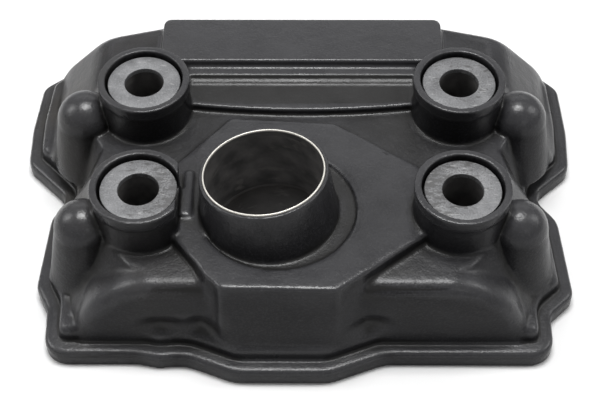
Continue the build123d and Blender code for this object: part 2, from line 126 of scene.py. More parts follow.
CAMERA_PLACE = (0.0028, -0.2471, 0.3101)
CAMERA_AIM = (-0.0001, -0.0263, 0.0400)
CAMERA_ROLL = -0.008
CAMERA_LENS = 80.02
CAMERA_SENSOR = 36.0
CAMERA_NEAR = 0.01
camera_data = bpy.data.cameras.new("camera")
camera_data.sensor_width = CAMERA_SENSOR
camera_data.lens = CAMERA_LENS
camera_data.clip_start = CAMERA_NEAR
camera = bpy.data.objects.new("camera", camera_data)
camera.location = CAMERA_PLACE
aim = (Vector(CAMERA_AIM) - Vector(CAMERA_PLACE)).to_track_quat("-Z", "Y")
camera.rotation_euler = (aim @ Quaternion((0, 0, 1), CAMERA_ROLL)).to_euler()
scene.collection.objects.link(camera)
scene.camera = camera
scene.view_settings.view_transform = "Standard"

# ---------------------------------------------------------------------------
# Cover casting: one thin-walled light-alloy casting, sand cast and painted
# satin charcoal. Its walls follow the frame's solid; every corner is then
# softened to the radius that the mould gave it there.
# ---------------------------------------------------------------------------
CASTING_VOXEL = 0.00038
CASTING_TRIANGLES = 195000
SOFT_PASSES = 26.0            # most corners of the casting
CRISP_PASSES = 2.5            # rims, bores and the flange face
STEP_PASSES = 9.0             # ledges behind the plug tube
DOME_PASSES = 5.0             # round tops of the domes
MOAT_PASSES = 6.0             # sunk ring round the plug tube
FLANGE_PASSES = 6.0           # edge of the flange
TOP_PASSES = 15.0             # edges of the plateau and the deck
END_PASSES = 60.0             # where the front hump runs out into the flange
JOIN = 1e-6
TUBE_AXIS = Vector((-0.079843, 0.094108, 0.992355))
MOUTH = Vector((-0.0097, -0.0198, 0.0444))

# each mask ramps between two heights, places or distances, in metres
DECK_RISE = (0.0235, 0.0265)
END_X, END_Y, END_RISE = (0.054, 0.059), (0.035, 0.040), (0.0080, 0.0100)
DOME_REACH, DOME_RISE = (0.0095, 0.0125), (0.0185, 0.0225)
LEDGE_START, LEDGE_STOP = (0.012, 0.015), (0.034, 0.037)
LEDGE_X, LEDGE_RISE = (0.034, 0.040), (0.026, 0.028)
BOSS_RIM, BOSS_RIM_RISE, BOSS_BORE = (0.0138, 0.0150), (0.0390, 0.0402), (0.0113, 0.0118)
MOAT_REACH, MOAT_RISE, MOAT_X = (0.0240, 0.0265), (0.024, 0.026), (-0.028, -0.024)
TUBE_RIM, TUBE_RIM_RISE, TUBE_BORE = (0.0182, 0.0192), (0.034, 0.037), (0.0168, 0.0172)
FLANGE_RISE = (0.0052, 0.0085)
FACE_TOP = 0.0028
DOME_PLACES = [(side * x, y) for x, y in ((0.0621, 0.0146), (0.0588, -0.0252))
               for side in (-1, 1)]

# shallow sunk marks low on the front wall: x, height and half width
DENTS = ((-0.0375, 0.0125, 0.0055), (-0.0255, 0.0130, 0.0040), (0.0190, 0.0135, 0.0050))
DENT_DEPTH, DENT_TALL, DENT_WALL = 0.0016, 0.0026, (0.0420, 0.0450)

# small chips in the paint on the ledge behind the tube: x, y and radius
CHIPS = ((0.0052, 0.0279, 0.0009), (0.0066, 0.0275, 0.0006),
         (0.0018, 0.0266, 0.0005), (0.0128, 0.0276, 0.0005))
CHIP_FLOOR = 0.03
BEND_MIDDLE, BEND_SPAN = 0.5, 5e-5
FACE_HEIGHT, FACE_TILT = 0.0006, -0.8


def joined_copy(name):
    """A node's mesh as a new datablock, with its split corners joined."""
    mesh = nodes[name].data.copy()
    bm = bmesh.new()
    bm.from_mesh(mesh)
    bmesh.ops.remove_doubles(bm, verts=bm.verts, dist=JOIN)
    bm.to_mesh(mesh)
    bm.free()
    return mesh


def baked(obj):
    """The object's evaluated mesh on its own; its modifiers are taken off."""
    depsgraph = bpy.context.evaluated_depsgraph_get()
    mesh = bpy.data.meshes.new_from_object(obj.evaluated_get(depsgraph), depsgraph=depsgraph)
    obj.modifiers.clear()
    return mesh


def placed(name, mesh):
    obj = bpy.data.objects.new(name, mesh)
    scene.collection.objects.link(obj)
    return obj


def finish_piece(obj, node, material, sharp=None):
    """Give a piece its material, shading and place on the body, and hide the node it stands in
    for.
    """
    obj.data.materials.clear()
    obj.data.materials.append(material)
    obj.data.shade_smooth()
    if sharp is not None:
        obj.data.set_sharp_from_angle(angle=math.radians(sharp))
    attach(obj, body)
    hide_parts(node)


def mesh_arrays(mesh):
    points = np.empty(len(mesh.vertices) * 3)
    mesh.vertices.foreach_get("co", points)
    pairs = np.empty(len(mesh.edges) * 2, dtype=np.int64)
    mesh.edges.foreach_get("vertices", pairs)
    return points.reshape(-1, 3), pairs.reshape(-1, 2)


def neighbour_mean(values, pairs):
    """Mean of each vertex's neighbours, for a column or for rows of columns."""
    count = len(values)
    a, b = pairs[:, 0], pairs[:, 1]
    degree = np.bincount(a, minlength=count) + np.bincount(b, minlength=count)
    rows = values.reshape(count, -1)
    mean = np.stack([(np.bincount(a, column[b], count) + np.bincount(b, column[a], count)) / degree
                     for column in rows.T], axis=1)
    return mean.reshape(values.shape)


def relax(points, pairs, passes, step=0.5):
    """Laplacian smoothing with its own number of passes for each vertex."""
    for k in range(int(math.ceil(passes.max()))):
        weight = np.clip(passes - k, 0, 1)[:, None] * step
        points = points + (neighbour_mean(points, pairs) - points) * weight
    return points


def ramp(value, start, end):
    return np.clip((value - start) / (end - start), 0, 1)


def along_and_across(points, origin, axis):
    """Distance along an axis and out from it."""
    offset = points - np.array(origin)
    along = offset @ np.array(axis)
    return along, np.linalg.norm(offset - along[:, None] * np.array(axis), axis=1)


casting_work = placed("casting_work", joined_copy("cover_casting"))
remesh = casting_work.modifiers.new("even", "REMESH")
remesh.mode = "VOXEL"
remesh.voxel_size = CASTING_VOXEL
casting_mesh = baked(casting_work)
bpy.data.objects.remove(casting_work)
casting_points, casting_pairs = mesh_arrays(casting_mesh)

BOSSES = {name: (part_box("seat_washer_" + name)[0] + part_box("seat_washer_" + name)[1]) / 2
          for name in ("front_left", "front_right", "back_left", "back_right")}
SEAT_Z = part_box("seat_washer_front_left")[1].z

for dent_x, dent_z, dent_w in DENTS:
    dent = np.exp(-((casting_points[:, 0] - dent_x) / dent_w) ** 2
                  - ((casting_points[:, 2] - dent_z) / DENT_TALL) ** 2)
    casting_points[:, 1] += DENT_DEPTH * dent * ramp(-casting_points[:, 1], *DENT_WALL)

across_x, across_y, height = casting_points.T
passes = SOFT_PASSES - (SOFT_PASSES - TOP_PASSES) * ramp(height, *DECK_RISE)
ends = ramp(abs(across_x), *END_X) * ramp(-across_y, *END_Y) * ramp(height, *END_RISE)
passes = passes + (END_PASSES - SOFT_PASSES) * ends


def firmer(passes, fewest, mask):
    """Fewer passes where the mask is on, so that the shape there stays crisper."""
    return np.minimum(passes, SOFT_PASSES - (SOFT_PASSES - fewest) * mask)


for dome_x, dome_y in DOME_PLACES:
    reach = np.hypot(across_x - dome_x, across_y - dome_y)
    passes = firmer(passes, DOME_PASSES,
                    (1 - ramp(reach, *DOME_REACH)) * ramp(height, *DOME_RISE))
passes = firmer(passes, STEP_PASSES,
                ramp(across_y, *LEDGE_START) * (1 - ramp(across_y, *LEDGE_STOP))
                * (1 - ramp(abs(across_x), *LEDGE_X)) * ramp(height, *LEDGE_RISE))
for centre in BOSSES.values():
    reach = np.hypot(across_x - centre.x, across_y - centre.y)
    rim = (1 - ramp(reach, *BOSS_RIM)) * ramp(height, *BOSS_RIM_RISE)
    passes = firmer(passes, CRISP_PASSES, np.maximum(rim, 1 - ramp(reach, *BOSS_BORE)))
reach = along_and_across(casting_points, MOUTH, TUBE_AXIS)[1]
passes = firmer(passes, MOAT_PASSES,
                (1 - ramp(reach, *MOAT_REACH)) * ramp(height, *MOAT_RISE)
                * ramp(across_x, *MOAT_X))
rim = (1 - ramp(reach, *TUBE_RIM)) * ramp(height, *TUBE_RIM_RISE)
passes = firmer(passes, CRISP_PASSES, np.maximum(rim, 1 - ramp(reach, *TUBE_BORE)))
passes = firmer(passes, FLANGE_PASSES, 1 - ramp(height, *FLANGE_RISE))
passes = np.where(height < FACE_TOP, np.minimum(passes, CRISP_PASSES), passes)
casting_soft = relax(casting_points, casting_pairs,
                     passes * (1.0))
casting_mesh.vertices.foreach_set("co", casting_soft.ravel())
casting_mesh.update()

cover_casting = placed("cover_casting_painted", casting_mesh)
thin = cover_casting.modifiers.new("thin", "DECIMATE")
thin.ratio = min(1.0, CASTING_TRIANGLES / (2 * len(casting_mesh.polygons)))
cover_casting.data = baked(cover_casting)

# thinning leaves specks of two faces back to back, which are taken out
specks = bmesh.new()
specks.from_mesh(cover_casting.data)
bmesh.ops.delete(specks, geom=[v for v in specks.verts if len(v.link_faces) < 3], context="VERTS")
specks.to_mesh(cover_casting.data)
specks.free()

# masks for the paint: how sharply the surface bends, and where metal shows
skin = cover_casting.data
skin_points, skin_pairs = mesh_arrays(skin)
skin_normals = np.empty(len(skin_points) * 3)
skin.vertex_normals.foreach_get("vector", skin_normals)
skin_normals = skin_normals.reshape(-1, 3)
bend = -np.sum((neighbour_mean(skin_points, skin_pairs) - skin_points) * skin_normals, axis=1)
for k in range(3):
    bend = 0.5 * (bend + neighbour_mean(bend, skin_pairs))
bend_mask = skin.attributes.new("bend", "FLOAT", "POINT")
bend_mask.data.foreach_set("value", np.clip(BEND_MIDDLE + bend / BEND_SPAN, 0, 1))

worn = np.zeros(len(skin_points))
for chip_x, chip_y, chip_r in CHIPS:
    reach = np.hypot(skin_points[:, 0] - chip_x, skin_points[:, 1] - chip_y)
    worn = np.maximum(worn, (1 - ramp(reach, chip_r / 2, chip_r))
                      * (skin_points[:, 2] > CHIP_FLOOR))
machined = ((skin_points[:, 2] < FACE_HEIGHT) & (skin_normals[:, 2] < FACE_TILT)).astype(float)
skin.attributes.new("worn", "FLOAT", "POINT").data.foreach_set("value", np.maximum(worn, machined))


def shader_of(name, metallic=0.0, roughness=None):
    """A new material, its Principled shader and its object coordinates."""
    material = bpy.data.materials.new(name)
    material.use_nodes = True
    shader = material.node_tree.nodes["Principled BSDF"]
    shader.inputs["Metallic"].default_value = metallic
    if roughness is not None:
        shader.inputs["Roughness"].default_value = roughness
    return material, shader, material.node_tree.nodes.new("ShaderNodeTexCoord")


def noise(coords, scale, detail=4.0, stretch=None):
    """Noise over object coordinates; stretch scales x, y and z apart."""
    tree = coords.id_data
    node = tree.nodes.new("ShaderNodeTexNoise")
    node.inputs["Scale"].default_value = scale
    node.inputs["Detail"].default_value = detail
    source = coords.outputs["Object"]
    if stretch is not None:
        mapping = tree.nodes.new("ShaderNodeMapping")
        mapping.inputs["Scale"].default_value = stretch
        tree.links.new(source, mapping.inputs["Vector"])
        source = mapping.outputs["Vector"]
    tree.links.new(source, node.inputs["Vector"])
    return node.outputs["Fac"]


def level(value, low, high, to_low=0.0, to_high=1.0):
    """The value carried from one range to another, held at both ends."""
    tree = value.id_data
    node = tree.nodes.new("ShaderNodeMapRange")
    tree.links.new(value, node.inputs["Value"])
    for key, number in (("From Min", low), ("From Max", high), ("To Min", to_low),
                        ("To Max", to_high)):
        node.inputs[key].default_value = number
    return node.outputs["Result"]


def joined(operation, a, b):
    """Maths on two sockets, or on a socket and a number."""
    tree = a.id_data
    node = tree.nodes.new("ShaderNodeMath")
    node.operation = operation
    tree.links.new(a, node.inputs[0])
    if isinstance(b, float):
        node.inputs[1].default_value = b
    else:
        tree.links.new(b, node.inputs[1])
    return node.outputs[0]


def mixed(factor, a, b):
    """Two colours, each a socket or a tuple, blended by a mask."""
    tree = factor.id_data
    node = tree.nodes.new("ShaderNodeMix")
    node.data_type = "RGBA"
    tree.links.new(factor, node.inputs[0])
    for end, colour in ((6, a), (7, b)):
        if isinstance(colour, tuple):
            node.inputs[end].default_value = (*colour, 1)
        else:
            tree.links.new(colour, node.inputs[end])
    return node.outputs[2]


def raised(shader, *heights):
    """Bump the surface by each (height socket, depth in metres) in turn."""
    tree = shader.id_data
    normal = None
    for height_socket, depth in heights:
        node = tree.nodes.new("ShaderNodeBump")
        node.inputs["Distance"].default_value = depth
        tree.links.new(height_socket, node.inputs["Height"])
        if normal is not None:
            tree.links.new(normal, node.inputs["Normal"])
        normal = node.outputs["Normal"]
    tree.links.new(normal, shader.inputs["Normal"])


def attribute(tree, name):
    node = tree.nodes.new("ShaderNodeAttribute")
    node.attribute_name = name
    return node.outputs["Fac"]


def axis_of(coords, output, axis):
    """One component of the object coordinates or of the surface's normal."""
    tree = coords.id_data
    node = tree.nodes.new("ShaderNodeSeparateXYZ")
    tree.links.new(coords.outputs[output], node.inputs[0])
    return node.outputs[axis]


def put(shader, **sockets):
    """Link sockets to the shader's inputs by name."""
    for key, socket in sockets.items():
        shader.id_data.links.new(socket, shader.inputs[key.replace("_", " ")])


# the paint: fine cast grain, slow mottle, dust and a painted sheen on the tops, a painted
# highlight on convex edges, painted shade in the hollows and on steep walls
PAINT_DARK = (0.0105, 0.0104, 0.0117)
PAINT_LIGHT = (0.0205, 0.0202, 0.0225)
GRAIN_LIGHT = (0.046, 0.046, 0.050)
DUST_AND_SHEEN = (0.058, 0.058, 0.062)
TAN = (0.046, 0.040, 0.030)
EDGE_HIGHLIGHT = (0.070, 0.070, 0.074)
CREASE_SHADE = (0.012, 0.0115, 0.0105)
BARE_ALLOY = (0.42, 0.41, 0.38)
WALL_SHADE = (0.0080, 0.0078, 0.0085)
paint, shader, coords = shader_of("satin_charcoal_paint")
tree = paint.node_tree
mottle = level(noise(coords, 55.0, 6.0), 0.35, 0.68)
grain = noise(coords, 1700.0, 3.0)
colour = mixed(mottle, PAINT_DARK, PAINT_LIGHT)
colour = mixed(level(grain, 0.46, 0.70, 0.0, 0.60), colour, GRAIN_LIGHT)
# upward faces get dust, and with it a painted sheen that lightens them
top = level(axis_of(coords, "Normal", "Z"), 0.55, 0.98, 0.0, 0.8)
dust_and_sheen = joined("MULTIPLY", top, level(noise(coords, 130.0, 5.0), 0.30, 0.75, 0.12, 0.55))
colour = mixed(dust_and_sheen, colour, DUST_AND_SHEEN)
tan = joined("MULTIPLY", level(axis_of(coords, "Object", "X"), -0.020, -0.070),
             level(noise(coords, 40.0, 5.0), 0.42, 0.66, 0.0, 0.42))
colour = mixed(tan, colour, TAN)
# painted highlight: every convex edge is lightened
edge = level(attribute(tree, "bend"), 0.62, 0.92, 0.0, 0.40)
colour = mixed(edge, colour, EDGE_HIGHLIGHT)
# painted shade: concave creases and hollows are darkened
crease_shade = level(attribute(tree, "bend"), 0.40, 0.16, 0.0, 0.75)
colour = mixed(crease_shade, colour, CREASE_SHADE)
ragged = level(noise(coords, 900.0), 0.3, 0.7, -0.25, 0.25)
bare = level(joined("ADD", attribute(tree, "worn"), ragged), 0.42, 0.60)
colour = mixed(bare, colour, BARE_ALLOY)
gloss = level(noise(coords, 90.0, 5.0), 0.3, 0.7, 0.30, 0.42)
facing_up = axis_of(coords, "Normal", "Z")
# painted shade: steep walls are darkened
colour = mixed(level(facing_up, 0.45, 0.05, 0.0, 0.45), colour, WALL_SHADE)
put(shader, Base_Color=colour, Metallic=bare,
    Specular_IOR_Level=level(facing_up, 0.10, 0.75, 0.14, 0.46),
    Roughness=joined("SUBTRACT", gloss, level(attribute(tree, "bend"), 0.55, 0.9, 0.0, 0.08)))
GRAIN_DEPTH, RIPPLE_DEPTH = 0.00006, 0.00012
raised(shader, (grain, GRAIN_DEPTH), (noise(coords, 320.0, 3.0), RIPPLE_DEPTH))
finish_piece(cover_casting, "cover_casting", paint)

# ---------------------------------------------------------------------------
# Plug tube sleeve: thin steel tube pressed into the collar. Its mouth is
# turned bright and round; the bore is blackened by oil, with a rolled step,
# painted shade deep down and a painted lighter band just under the mouth.
# ---------------------------------------------------------------------------
TUBE_FRAME = Matrix.Translation(MOUTH) @ TUBE_AXIS.to_track_quat("Z", "Y").to_matrix().to_4x4()
TURNED_STEPS = 192


def turned(name, profile, steps, frame_matrix):
    """Closed (radius, height) outline in millimetres, turned about the frame's Z."""
    rows = len(profile)
    corners = []
    for k in range(steps):
        angle = 2 * math.pi * k / steps
        for radius, rise in profile:
            corners.append(frame_matrix @ Vector((radius * math.cos(angle) / 1000,
                                                  radius * math.sin(angle) / 1000, rise / 1000)))
    faces = []
    for k in range(steps):
        here, there = k * rows, (k + 1) % steps * rows
        for j in range(rows):
            up = (j + 1) % rows
            faces.append((here + j, there + j, there + up, here + up))
    mesh = bpy.data.meshes.new(name)
    mesh.from_pydata(corners, [], faces)
    mesh.update()
    return placed(name, mesh)


SLEEVE_PROFILE = [
    (15.70, -2.2), (15.70, -19.6), (15.55, -19.9), (15.25, -20.15), (15.10, -20.6),
    (15.10, -35.6), (15.30, -36.2), (15.55, -36.6), (16.30, -36.6), (16.30, -18.0),
    (16.30, 0.02), (16.26, 0.17), (16.16, 0.27), (16.04, 0.30), (15.93, 0.25),
    (15.86, 0.14), (15.84, 0.0), (15.84, -1.8), (15.78, -2.0)]
plug_tube_sleeve = turned("plug_tube_sleeve_turned", SLEEVE_PROFILE[::-1], TURNED_STEPS,
                          TUBE_FRAME)
BORE_DARK, BORE_LIGHT = (0.032, 0.031, 0.031), (0.090, 0.086, 0.084)
DEEP_BORE_SHADE, MOUTH_BORE_LIGHT = (0.024, 0.020, 0.018), (0.075, 0.073, 0.072)
STREAKED_BORE, TURNED_RIM = (0.110, 0.105, 0.098), (0.95, 0.92, 0.85)
LATHE_DEPTH, BORE_PITS = 0.00002, 0.00003
turned_steel, shader, coords = shader_of("turned_tube_steel")
tree = turned_steel.node_tree
along = along_and_across(mesh_arrays(plug_tube_sleeve.data)[0], MOUTH, TUBE_AXIS)[0]
plug_tube_sleeve.data.attributes.new("depth", "FLOAT", "POINT").data.foreach_set("value", -along)
depth = attribute(tree, "depth")
ragged = level(noise(coords, 700.0), 0.3, 0.7, -0.00004, 0.00004)
bright = level(joined("ADD", depth, ragged), 0.00030, 0.00004)
stain = level(noise(coords, 130.0, 7.0, (1.0, 1.0, 1.5)), 0.38, 0.66)
wall = mixed(stain, BORE_DARK, BORE_LIGHT)
# painted shade: the bore darkens below the step, deep in the tube
wall = mixed(level(depth, 0.0195, 0.0204, 0.0, 0.6), wall, DEEP_BORE_SHADE)
# painted light: the bore lightens in the last two millimetres under the mouth
wall = mixed(level(depth, 0.0022, 0.0012, 0.0, 0.55), wall, MOUTH_BORE_LIGHT)
streak = level(noise(coords, 210.0, 6.0, (1.0, 1.0, 2.2)), 0.58, 0.70, 0.0, 0.6)
wall = mixed(streak, wall, STREAKED_BORE)
put(shader, Base_Color=mixed(bright, wall, TURNED_RIM),
    Metallic=level(bright, 0.0, 1.0, 0.15, 0.55),
    Roughness=level(bright, 0.0, 1.0, 0.50, 0.42))
lathe_lines = noise(coords, 60.0, 2.0, (0.3, 0.3, 60.0))
raised(shader, (lathe_lines, LATHE_DEPTH), (noise(coords, 800.0), BORE_PITS))
finish_piece(plug_tube_sleeve, "plug_tube_sleeve", turned_steel, 40)

# ---------------------------------------------------------------------------
# Plug tube seal: moulded nitrile ring in the foot of the tube, with two lips
# that close on the cylinder head.
# ---------------------------------------------------------------------------
SEAL_PROFILE = [
    (15.60, -36.62), (18.00, -36.62), (18.18, -36.8), (18.18, -37.5), (17.95, -37.75),
    (18.18, -38.0), (18.18, -39.0), (17.95, -39.25), (18.18, -39.5), (18.18, -40.4),
    (18.00, -40.58), (17.30, -40.58), (17.00, -40.15), (16.30, -40.15), (16.00, -40.58),
    (15.40, -40.58), (15.10, -40.2), (14.85, -39.4), (14.85, -37.9), (15.10, -37.1)]
plug_tube_seal = turned("plug_tube_seal_moulded", SEAL_PROFILE, TURNED_STEPS, TUBE_FRAME)
RUBBER_SKIN, RUBBER_ORANGE_PEEL = 0.00003, 0.00005


def rubber_of(name, dark, pale, bloom_scale=260.0):
    """Matt black moulded rubber with a pale bloom and a fine skin."""
    material, shader, coords = shader_of(name)
    bloom = level(noise(coords, bloom_scale, 6.0), 0.42, 0.72)
    put(shader, Base_Color=mixed(bloom, dark, pale),
        Roughness=level(noise(coords, 500.0), 0.3, 0.7, 0.55, 0.80))
    raised(shader, (noise(coords, 2500.0, 2.0), RUBBER_SKIN),
           (noise(coords, 400.0), RUBBER_ORANGE_PEEL))
    return material


seal_rubber = rubber_of("seal_nitrile", (0.011, 0.011, 0.012), (0.028, 0.027, 0.026))
finish_piece(plug_tube_seal, "plug_tube_seal", seal_rubber, 40)

# ---------------------------------------------------------------------------
# Mounting bushes and washers: a flanged rubber bush lines each boss and a
# stamped zinc-plated washer lies on its head, under the bolt's collar.
# ---------------------------------------------------------------------------
RING_INPUTS = ("Head Radius", "Stem Radius", "Bore Radius", "Head Height", "Length",
               "Edge Radius")
RING_STEPS, RING_FILLET = 96, 4


def new_tree(name, keys):
    """A geometry tree with named number inputs: tree, input sockets, output, identifiers."""
    tree = bpy.data.node_groups.new(name, "GeometryNodeTree")
    sockets = {key: tree.interface.new_socket(key, in_out="INPUT", socket_type="NodeSocketFloat")
               for key in keys}
    tree.interface.new_socket("Geometry", in_out="OUTPUT", socket_type="NodeSocketGeometry")
    sizes = tree.nodes.new("NodeGroupInput").outputs
    out = tree.nodes.new("NodeGroupOutput")
    return tree, sizes, out, {key: socket.identifier for key, socket in sockets.items()}


def filled(tree, kind, values, **settings):
    """A node with its inputs linked to sockets or set to values, by place or by name."""
    node = tree.nodes.new(kind)
    for key, setting in settings.items():
        setattr(node, key, setting)
    for end, value in values.items():
        if isinstance(value, bpy.types.NodeSocket):
            tree.links.new(value, node.inputs[end])
        elif value is not None:
            node.inputs[end].default_value = value
    return node


def maths(tree, operation, a, b):
    return filled(tree, "ShaderNodeMath", {0: a, 1: b}, operation=operation).outputs[0]


def vector(tree, x=None, y=None, z=None):
    return filled(tree, "ShaderNodeCombineXYZ", {0: x, 1: y, 2: z}).outputs[0]


def swept(tree, corners, closed, fillet, edge, path_radius, path_steps):
    """An outline through (out, up) corners, its edges rounded, turned round a circle."""
    pick = filled(tree, "GeometryNodeIndexSwitch", {}, data_type="VECTOR")
    for k in range(len(corners) - len(pick.index_switch_items)):
        pick.index_switch_items.new()
    tree.links.new(tree.nodes.new("GeometryNodeInputIndex").outputs[0], pick.inputs["Index"])
    for k, (out_by, up_by) in enumerate(corners):
        tree.links.new(vector(tree, out_by, up_by), pick.inputs[k + 1])
    points = filled(tree, "GeometryNodePoints",
                    {"Count": len(corners), "Position": pick.outputs[0]})
    outline = filled(tree, "GeometryNodePointsToCurves", {"Points": points.outputs[0]})
    if closed:
        outline = filled(tree, "GeometryNodeSetSplineCyclic",
                         {0: outline.outputs[0], "Cyclic": True})
    rounded = filled(tree, "GeometryNodeFilletCurve",
                     {"Count": fillet, "Limit Radius": True, "Curve": outline.outputs[0],
                      "Radius": edge}, mode="POLY")
    path = filled(tree, "GeometryNodeCurvePrimitiveCircle",
                  {"Resolution": path_steps, "Radius": path_radius})
    return filled(tree, "GeometryNodeCurveToMesh",
                  {"Curve": path.outputs[0], "Profile Curve": rounded.outputs[0]}).outputs[0]


def coated(tree, geometry, material, out):
    """End a tree: real geometry, one material, out."""
    real = filled(tree, "GeometryNodeRealizeInstances", {0: geometry})
    coat = filled(tree, "GeometryNodeSetMaterial",
                  {"Geometry": real.outputs[0], "Material": material})
    tree.links.new(coat.outputs[0], out.inputs[0])


def turned_ring_tree(name, material):
    """Node tree of a stepped ring: head over stem, round a bore, edges rounded."""
    tree, sizes, out, identifiers = new_tree(name, RING_INPUTS)
    head = maths(tree, "SUBTRACT", sizes["Head Radius"], sizes["Bore Radius"])
    stem = maths(tree, "SUBTRACT", sizes["Stem Radius"], sizes["Bore Radius"])
    under_head, foot = sizes["Head Height"], sizes["Length"]
    corners = [(None, None), (head, None), (head, under_head), (stem, under_head), (stem, foot),
               (None, foot)]
    ring = swept(tree, corners, True, RING_FILLET, sizes["Edge Radius"], sizes["Bore Radius"],
                 RING_STEPS)
    coated(tree, ring, material, out)
    return tree, identifiers


def grown(name, tree, identifiers, sizes, frame_matrix):
    """Bake a node tree at the given sizes (millimetres) into a plain placed mesh."""
    obj = placed(name, bpy.data.meshes.new(name + "_seed"))
    modifier = obj.modifiers.new("made", "NODES")
    modifier.node_group = tree
    for key, value in sizes.items():
        modifier[identifiers[key]] = value / 1000
    mesh = baked(obj)
    mesh.transform(frame_matrix)
    bm = bmesh.new()
    bm.from_mesh(mesh)
    bmesh.ops.remove_doubles(bm, verts=bm.verts, dist=2 * JOIN)
    if bm.calc_volume(signed=True) < 0:
        bmesh.ops.reverse_faces(bm, faces=bm.faces)
    bm.to_mesh(mesh)
    bm.free()
    obj.data = mesh
    return obj


# the bush rubber is coloured far lighter than the other black rubbers: painted light standing in
# for the light in the deep bores
bush_rubber_lightened = rubber_of("bush_rubber_painted_light", (0.075, 0.072, 0.071), (0.140, 0.134, 0.130))
ZINC_DARK, ZINC_LIGHT = (0.150, 0.152, 0.158), (0.265, 0.268, 0.275)
GRAIN_HIGH, GRAIN_LOW = (0.38, 0.38, 0.385), (0.12, 0.12, 0.122)
PIT, SMEAR, SIDE_SHADE = (0.055, 0.052, 0.050), (0.085, 0.083, 0.082), (0.105, 0.105, 0.108)
SCUFF = (0.44, 0.44, 0.44)
ZINC_BUMP = 0.00004

# the washers: dull zinc with a fine grain, dark pits and smears where grime lies, and painted
# shade darkening one side
washer_steel, shader, coords = shader_of("washer_zinc_scuffed")
tree = washer_steel.node_tree
grime_and_shade = attribute(tree, "grime_and_shade")
metal = mixed(level(noise(coords, 220.0, 6.0), 0.32, 0.70), ZINC_DARK, ZINC_LIGHT)
metal = mixed(level(noise(coords, 2600.0, 2.0), 0.50, 0.72, 0.0, 0.55), metal, GRAIN_HIGH)
metal = mixed(level(noise(coords, 1700.0, 3.0), 0.44, 0.30, 0.0, 0.50), metal, GRAIN_LOW)
speck = level(joined("ADD", noise(coords, 1900.0, 5.0), joined("MULTIPLY", grime_and_shade, 0.22)),
              0.66, 0.76)
metal = mixed(joined("MULTIPLY", speck, 0.8), metal, PIT)
smear = level(joined("ADD", noise(coords, 300.0, 7.0, (1.0, 2.2, 1.0)),
                     joined("MULTIPLY", grime_and_shade, 0.26)), 0.68, 0.76, 0.0, 0.85)
metal = mixed(smear, metal, SMEAR)
# painted shade: each washer darkens broadly toward the side its lean points to
metal = mixed(level(grime_and_shade, 0.1, 1.0, 0.0, 0.45), metal, SIDE_SHADE)
scuff = level(noise(coords, 420.0, 6.0, (1.0, 3.0, 1.0)), 0.60, 0.70, 0.0, 0.55)
metal = mixed(scuff, metal, SCUFF)
put(shader, Base_Color=metal, Metallic=level(speck, 0.0, 1.0, 0.35, 0.05),
    Roughness=level(noise(coords, 350.0, 5.0), 0.3, 0.7, 0.42, 0.62))
raised(shader, (noise(coords, 2200.0, 3.0), ZINC_BUMP), (noise(coords, 500.0, 4.0), ZINC_BUMP))

bush_tree, bush_keys = turned_ring_tree("stepped_rubber_bush", bush_rubber_lightened)
washer_tree, washer_keys = turned_ring_tree("stepped_washer", washer_steel)
BUSH_SIZES = {"Head Radius": 10.2, "Stem Radius": 7.85, "Bore Radius": 6.0, "Head Height": 3.0,
              "Length": 14.0, "Edge Radius": 0.45}
WASHER_SIZES = {"Head Radius": 10.25, "Stem Radius": 9.7, "Bore Radius": 5.5, "Head Height": 1.2,
                "Length": 1.6, "Edge Radius": 0.22}
# grime and painted shade on each washer: its lean along x and y, and how much there is
GRIME_AND_SHADE = {"front_left": (1.0, 0.15, 0.45), "front_right": (-0.55, 0.25, 0.55),
         "back_left": (0.3, 0.0, 0.05), "back_right": (0.2, 0.3, 0.35)}
WASHER_REACH = 0.010
for place, centre in BOSSES.items():
    top_of_bush = Vector((centre.x, centre.y, SEAT_Z - WASHER_SIZES["Length"] / 1000))
    bush = grown("mount_bush_" + place + "_moulded", bush_tree, bush_keys, BUSH_SIZES,
                 Matrix.Translation(top_of_bush))
    finish_piece(bush, "mount_bush_" + place, bush_rubber_lightened, 50)
    washer = grown("seat_washer_" + place + "_stamped", washer_tree, washer_keys, WASHER_SIZES,
                   Matrix.Translation((centre.x, centre.y, SEAT_Z)))
    lean_x, lean_y, amount = GRIME_AND_SHADE[place]
    washer_points = mesh_arrays(washer.data)[0]
    toward = ((washer_points[:, 0] - centre.x) * lean_x
              + (washer_points[:, 1] - centre.y) * lean_y) / WASHER_REACH
    washer.data.attributes.new("grime_and_shade", "FLOAT", "POINT").data.foreach_set(
        "value", np.clip(amount + toward * amount, 0, 1))
    finish_piece(washer, "seat_washer_" + place, washer_steel, 50)

# ---------------------------------------------------------------------------
# Cover gasket: one moulded rubber ring pushed into the groove under the
# flange, its long edges rounded by the mould.
# ---------------------------------------------------------------------------
FLAT_ANGLE, EDGE_ANGLE, EDGE_STEPS = math.radians(2), math.radians(40), 3


def softened(name, node, width):
    """A piece cut from a node's solid, with its flats joined and its edges rounded."""
    mesh = joined_copy(node)
    bm = bmesh.new()
    bm.from_mesh(mesh)
    bmesh.ops.dissolve_limit(bm, angle_limit=FLAT_ANGLE, verts=bm.verts, edges=bm.edges)
    bm.to_mesh(mesh)
    bm.free()
    obj = placed(name, mesh)
    rounding = obj.modifiers.new("rounded", "BEVEL")
    rounding.width = width / 1000
    rounding.segments = EDGE_STEPS
    rounding.limit_method = "ANGLE"
    rounding.angle_limit = EDGE_ANGLE
    rounding.use_clamp_overlap = True
    obj.data = baked(obj)
    return obj


cover_gasket = softened("cover_gasket_moulded", "cover_gasket", 0.55)
gasket_rubber = rubber_of("gasket_rubber_black", (0.0085, 0.0085, 0.0090), (0.026, 0.025, 0.024),
                          140.0)
finish_piece(cover_gasket, "cover_gasket", gasket_rubber, 35)

# ---------------------------------------------------------------------------
# Oil baffle: zinc-plated sheet under the back ridge, with drain slots and
# two pressed ribs that stiffen it.
# ---------------------------------------------------------------------------


FILM = (0.030, 0.024, 0.016)
PLATED_BUMP = 0.00002


